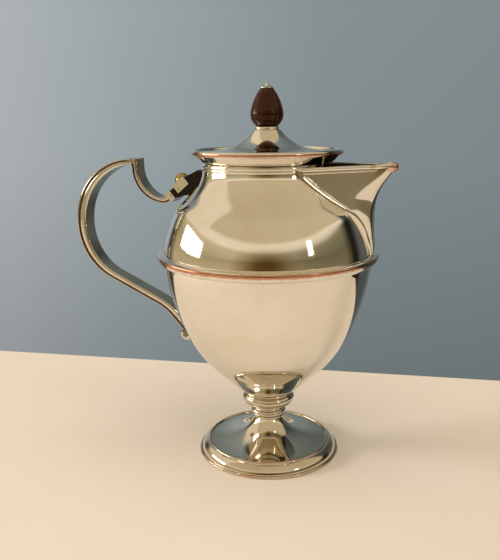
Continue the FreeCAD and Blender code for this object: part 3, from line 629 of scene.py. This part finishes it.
def beak_outline(level, stand=0):
    """The spout's section at a level, from the joint on one side round the tip to the other: a filed
    ridge of solder, a flat side and a rounded nose, and the same again. It stands out by stand."""
    least_flat, most_ridge, nose_pull, nose_fullness, tucked_in = 0.35, 0.7, 0.33, 0.8, 0.98
    tip, nose, reach = beak_at(level)[:3]
    corner, way = joint_at(level)
    turn = math.atan2(corner.y, corner.x) + ridge_on_shoulder / radius_at(level)
    edge = Vector((math.cos(turn), math.sin(turn))) * (radius_at(level) + ridge_edge)
    corner = corner + Vector((-way.y, way.x)) * stand
    point = Vector((tip + stand, 0))
    length = (point - corner).length
    bend = corner + way * max(least_flat * length, length - reach)
    flat = corner.lerp(bend, min(most_ridge, ridge_on_side / (bend - corner).length))
    pull = (point - bend).length * nose_pull
    ridge = (edge + flat) / 2
    ridge += (ridge - corner).normalized() * ridge_rise
    half = [edge * tucked_in]
    for t in (i / 8 for i in range(8)):
        half.append(edge * (1 - t) ** 2 + ridge * 2 * t * (1 - t) + flat * t ** 2)
    half += [flat.lerp(bend, i / 14) for i in range(14)]
    lead, arrive = bend + way * pull, point + Vector((0, nose_fullness * nose))
    for t in (i / 18 for i in range(18)):
        half.append(
            bend * (1 - t) ** 3 + lead * 3 * t * (1 - t) ** 2
            + arrive * 3 * t ** 2 * (1 - t) + point * t ** 3
        )
    return half + [point] + [Vector((p.x, -p.y)) for p in half[::-1]]


def strips(rows, closed=False):
    """Points and faces of a sheet that joins rows of points, or of a bar with its two ends."""
    size = len(rows[0])
    points = [tuple(c * MM for c in point) for row in rows for point in row]
    faces = []
    for low in range(0, (len(rows) - 1) * size, size):
        for i in range(size if closed else size - 1):
            k = (i + 1) % size
            faces.append((low + i, low + k, low + size + k, low + size + i))
    if closed:
        faces += [tuple(range(size)), tuple(range(len(points) - size, len(points)))]
    return points, faces


lip_start, lip_climb = 189.1, math.radians(1.2)


def lip_height(x):
    """Height of the spout's lip, which climbs a little towards its tip."""
    return lip_start + x * math.tan(lip_climb)


beak_foot, beak_rise, beak_steps = 136, 52, 60
sheet_edge, under_lip = 189.6, 0.3
levels = [beak_foot + beak_rise * (i / beak_steps) for i in range(beak_steps + 1)]
rows = [[(x, y, level) for x, y in beak_outline(level)] for level in levels]
rows.append([(x, y, lip_height(x) - under_lip) for x, y in beak_outline(sheet_edge)])
beak = finished("spout_beak", *strips(rows), "pot", "silver_plate")
beak.modifiers.clear()
sheet = beak.modifiers.new("sheet", "SOLIDIFY")
sheet.thickness = 1.1 * MM
sheet.offset = -1
sheet.material_offset = 1
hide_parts("spout_shell")

# Each wire's section has (stand, drop) from the lip's edge; the bead's is the tip's.
lip_wire_section = (
    (-1.25, 1.2), (-1.2, 0.4), (-0.9, 0.05), (-0.2, -0.1), (0.6, 0.0), (1.15, 0.35),
    (1.45, 0.9), (1.5, 1.45), (1.3, 2.0), (0.9, 2.4), (0.55, 2.55), (0.55, 2.7),
    (0.9, 2.85), (1.2, 3.15), (1.25, 3.55), (1.0, 3.95), (0.5, 4.2), (-0.3, 4.2),
)
lip_bead_section = (
    (-1.6, 1.2), (-1.5, 0.2), (-1.1, -0.5), (-0.4, -0.85), (0.4, -0.8), (1.1, -0.4),
    (1.6, 0.2), (1.9, 0.9), (2.0, 1.6), (1.95, 2.2), (1.85, 2.6), (1.75, 2.9),
    (1.5, 3.4), (1.1, 3.9), (0.5, 4.4), (-0.2, 4.7), (-1.0, 4.85), (-2.2, 4.85),
)
wire_level, swell_from, swell_over = 190, 60, 16
rows = []
for i, spot in enumerate(beak_outline(wire_level)):
    lip = lip_height(spot.x)
    swell = max(0, min(1, (spot.x - swell_from) / swell_over)) ** 2
    row = []
    for (stand, drop), (out, fall) in zip(lip_wire_section, lip_bead_section):
        reed = beak_outline(lip - drop, stand)[i].to_3d()
        bead = beak_outline(wire_level, out)[i].to_3d()
        reed.z, bead.z = lip - drop, lip - fall
        row.append(tuple(reed.lerp(bead, swell)))
    rows.append(row)
lip_wire = finished("spout_lip_wire", *strips(rows, closed=True), "pot", "silver_plate")
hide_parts("spout_rim_wire")
spout_silver = polished_silver_plate("spout_silver_plate", spots=(
    (80, 0, 188, 12), (66, -6, 190, 5), (70, 5, 190, 5),
))
lip_wire.data.materials.append(spout_silver)
# The open sheet faces inwards and is thickened outwards, so the inside's finish comes first.
beak.data.materials.append(stained_inside)
beak.data.materials.append(spout_silver)


# Handle: a cast strap with threaded edges on its outer face, bent to a loop that folds back at
# the top and rolls outwards at its lower end. It is plated all over.
strap_steps, fold_steps = 20, 24
# Each entry has a place across, a share of the thickness, a step outwards and the dirt it holds.
threaded_section = (
    (0, 1, -0.35, 0), (1.2, 1, -0.42, 0), (2.1, 1, -0.66, 0.6), (2.35, 1, -0.66, 0.6),
    (2.6, 1, -0.3, 0), (2.95, 1, -0.15, 0), (3.3, 1, -0.2, 0), (3.7, 1, -0.55, 0.6),
    (3.95, 1, -0.66, 0.8), (4.2, 1, -0.55, 0.6), (4.55, 1, -0.12, 0), (5.05, 1, 0, 0),
    (5.5, 1, -0.12, 0), (5.85, 1, -0.45, 0), (6, 0.84, 0, 0), (5.9, 0.74, 0, 0),
    (5.6, 0.68, 0, 0.7), (5.3, 0.65, 0, 1), (5.3, 0.63, 0, 1), (5.6, 0.6, 0, 0.6),
    (5.85, 0.55, 0, 0), (6, 0.45, 0, 0), (6, 0.25, 0, 0), (5.9, 0.12, 0, 0),
    (5.7, 0.0, 0.25, 0), (5.3, 0, 0.06, 0), (4.8, 0, 0, 0), (0, 0, 0, 0),
)


def strap_section(outer, inner):
    """One section across the strap: two threads at each edge of its outer face and a groove in
    each side."""
    outer, inner = Vector(outer), Vector(inner)
    out = (outer - inner).normalized()
    half = []
    for across, share, step, dirt in threaded_section:
        point = inner + (outer - inner) * share + out * step
        half.append((point.x, across, point.y))
    return half + [(x, -y, z) for x, y, z in half[-2:0:-1]]


def strap(sides, steps):
    """Points and faces of a strap whose two faces follow matching lines: (start, end, rise) each."""
    pairs = []
    for outer, inner in sides:
        pairs += zip(arc_points(*outer, steps), arc_points(*inner, steps))
    pairs.append((sides[-1][0][1], sides[-1][1][1]))
    return strips([strap_section(*pair) for pair in pairs], closed=True)


roll_middle = (-56.4, 75.9)
bow_points, bow_faces = strap([
    (((-88.6, 192.3), (-93, 192.4), 0), ((-91.6, 188.9), (-96.3, 188.4), 0)),
    (((-93, 192.4), (-136.1, 149), -12.71), ((-96.3, 188.4), (-129.3, 149), -9.29)),
    (((-136.1, 149), (-113, 111.6), -6.54), ((-129.3, 149), (-110.5, 115.7), -5.31)),
    (((-113, 111.6), (-79, 96), 0), ((-110.5, 115.7), (-76.5, 100.1), 0)),
    (((-79, 96), (-65.6, 86.2), 1.06), ((-76.5, 100.1), (-61.6, 89.8), 0.84)),
    (((-65.6, 86.2), (-59.2, 79), 0), ((-61.6, 89.8), (-54.3, 81.6), 0)),
    (((-59.2, 79), (-57.2, 77.3), 0), ((-54.3, 81.6), (-52.95, 78.6), -0.2)),
    (((-57.2, 77.3), roll_middle, 0), ((-52.95, 78.6), (-53.3, 72.4), 1.29)),
    ((roll_middle, (-57, 75.6), 0), ((-53.3, 72.4), (-59.5, 72.8), 1.29)),
    (((-57, 75.6), (-57, 76.4), 0), ((-59.5, 72.8), (-60.3, 77.3), 0.8)),
], strap_steps)
fold_points, fold_faces = strap([
    (((-93, 192.4), (-91.6, 186.6), 0), ((-88, 192.4), (-88, 187), 0)),
    (((-91.6, 186.6), (-69.8, 164.1), -6.27), ((-88, 187), (-71.8, 167.3), -4.45)),
    (((-69.8, 164.1), (-64.1, 165.3), -0.51), ((-71.8, 167.3), (-67.5, 169.5), -0.57)),
    (((-64.1, 165.3), (-62.4, 166.8), 0), ((-67.5, 169.5), (-65.9, 170.9), 0)),
], fold_steps)
bow_faces += [tuple(len(bow_points) + i for i in face) for face in fold_faces]
handle = finished("handle_strap", bow_points + fold_points, bow_faces, "pot", "silver_plate")
grime = handle.data.attributes.new("grime", "FLOAT", "POINT")
dirt = [entry[3] for entry in threaded_section]
dirt += dirt[-2:0:-1]
for i, spot in enumerate(grime.data):
    spot.value = dirt[i % len(dirt)]
handle.data.materials.append(polished_silver_plate("handle_silver_plate", spots=(
    (-132, 0, 165, 9), (-135, 0, 138, 9), (-93, 0, 193, 6), (-100, 0, 105, 7),
), grime="grime", clean="#ded7ca", dull="#8a714c"))
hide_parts("handle_scroll")


# Upper joint: the strap's tip is pinned in a plated ferrule on a block of dark hardwood, which
# keeps the heat from the hand. A saddle over the block takes the domed brass screw.
def polished_dark_hardwood(name, streaks, dark, streaky):
    """Ebonised hardwood under wax: nearly black, with brown streaks along the grain and a soft sheen.
    streaks counts them to the metre along x, y and z, with the lowest count along the grain."""
    material = bpy.data.materials.new(name)
    material.use_nodes = True
    tree = material.node_tree
    shader = tree.nodes["Principled BSDF"]
    place = node(tree, "ShaderNodeTexCoord").outputs["Object"]
    stretched = node(tree, "ShaderNodeMapping", {"Vector": place, "Scale": streaks})
    streak = node(tree, "ShaderNodeTexNoise", {
        "Vector": stretched.outputs[0], "Scale": 1.0, "Detail": 6.0, "Roughness": 0.62,
    }).outputs["Fac"]
    tone = node(tree, "ShaderNodeMapRange", {
        "Value": streak, "From Min": 0.35, "From Max": 0.7,
    }).outputs["Result"]
    colour = node(tree, "ShaderNodeMix", {
        0: tone, 6: linear(dark), 7: linear(streaky),
    }, data_type="RGBA").outputs[2]
    gloss = node(tree, "ShaderNodeMapRange", {
        "Value": streak, "From Min": 0.3, "From Max": 0.7, "To Min": 0.16, "To Max": 0.28,
    }).outputs["Result"]
    pores = node(tree, "ShaderNodeBump", {"Height": streak, "Strength": 0.12, "Distance": 0.05 * MM})
    tree.links.new(colour, shader.inputs["Base Color"])
    tree.links.new(gloss, shader.inputs["Roughness"])
    tree.links.new(pores.outputs[0], shader.inputs["Normal"])
    shader.inputs["Specular IOR Level"].default_value = 0.2
    shader.inputs["Coat Weight"].default_value = 0.18
    shader.inputs["Coat Roughness"].default_value = 0.06
    return material


def turned_brass(name):
    """Yellow brass, turned and left to age: dull brown patches a few millimetres across on a bright
    ground."""
    material = bpy.data.materials.new(name)
    material.use_nodes = True
    tree = material.node_tree
    shader = tree.nodes["Principled BSDF"]
    place = node(tree, "ShaderNodeTexCoord").outputs["Object"]
    patch = node(tree, "ShaderNodeTexNoise", {
        "Vector": place, "Scale": 1 / (2.5 * MM), "Detail": 4.0,
    }).outputs["Fac"]
    colour = node(tree, "ShaderNodeMix", {
        0: patch, 6: linear("#8f7440"), 7: linear("#e2c98a"),
    }, data_type="RGBA").outputs[2]
    gloss = node(tree, "ShaderNodeMapRange", {
        "Value": patch, "To Min": 0.12, "To Max": 0.32,
    }).outputs["Result"]
    tree.links.new(colour, shader.inputs["Base Color"])
    tree.links.new(gloss, shader.inputs["Roughness"])
    shader.inputs["Metallic"].default_value = 1.0
    return material


brass = turned_brass("turned_brass")
block_wood = polished_dark_hardwood("block_hardwood", (140, 900, 500), "#0b0503", "#1e0e08")
dressed("handle_upper_insulator", block_wood, 0.5)
for name in ("handle_upper_ferrule", "insulator_saddle"):
    dressed(name, plain_silver, 0.3)
for name in ("insulator_screw", "insulator_boss", "ferrule_pin", "saddle_pin"):
    dressed(name, brass)

# Lower joint: a lug soldered on the bowl goes through a hardwood pad into the strap, where a
# brass pin holds it.
dressed("handle_lower_insulator", block_wood, 0.4)
dressed("handle_lower_lug", plain_silver)
dressed("handle_lower_pin", brass)

# Lid: a dished disc with a hollow cone, spun from plated sheet, on a flared bezel whose sleeve
# drops into the neck. A rounded wire stiffens its edge, and is rubbed to the copper.
lid_silver = polished_silver_plate("lid_silver_plate", worn=((46.9, 197.0, 1.7),))
lid_skirt = spun("lid_skirt", [
    (37.2, 180), (38.2, 180), (38.2, 191), (40.1, 191), (45.8, 196), (45.8, 197),
    (44.6, 197), (39.6, 192), (37.2, 192),
], "lid")
lid_dish = spun("lid_dish", [
    (1.6, 210.6), (8.4, 210.6, -1.44), (24.5, 199.6, -0.7), (42, 198), (45.8, 198), (45.8, 197),
    (42, 197, 0.7), (24.1, 198.6, 1.44), (7.6, 209.6), (1.6, 209.6),
], "lid", steps=40)
lid_edge = spun("lid_edge_wire", [
    (45.8, 195.5, -1.2), (45.8, 199, -0.35), (44.3, 197.8),
], "lid", soft=0.2)
for piece, name in (
    (lid_skirt, "lid_bezel"), (lid_dish, "lid_shell"), (lid_edge, "lid_rim_wire"),
):
    piece.data.materials.append(lid_silver)
    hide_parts(name)

# Finial: a turned acorn of the same dark wood on a small plated disc, with a pointed plated cap.
# A brass stud through all of them is held by a nut under the lid.
finial_disc = spun("finial_disc", [
    (1.6, 210.6), (7.2, 210.6, -0.36), (7.2, 212.4), (1.6, 212.4),
], "lid", around=128)
finial_acorn = spun("finial_acorn", [
    (1.6, 212.4), (6.1, 212.4, -1.2), (10.2, 220.3, -1.05), (3.9, 235), (1.6, 235),
], "lid", slot="dark_wood", steps=32, around=128)
finial_point = spun("finial_point", [
    (1.5, 235), (3.9, 235), (3.9, 235.66, 0.33), (0.4, 238.3), (0, 238.3), (0, 236.2),
    (1.5, 236.2),
], "lid", soft=0.2, around=96)
acorn_wood = polished_dark_hardwood("finial_hardwood", (700, 700, 60), "#1e0800", "#481a04")
for piece, name, material in (
    (finial_disc, "finial_seat", plain_silver),
    (finial_acorn, "finial_wood", acorn_wood),
    (finial_point, "finial_cap", plain_silver),
):
    piece.data.materials.append(material)
    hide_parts(name)
for name in ("finial_stud", "finial_nut"):
    dressed(name, brass)
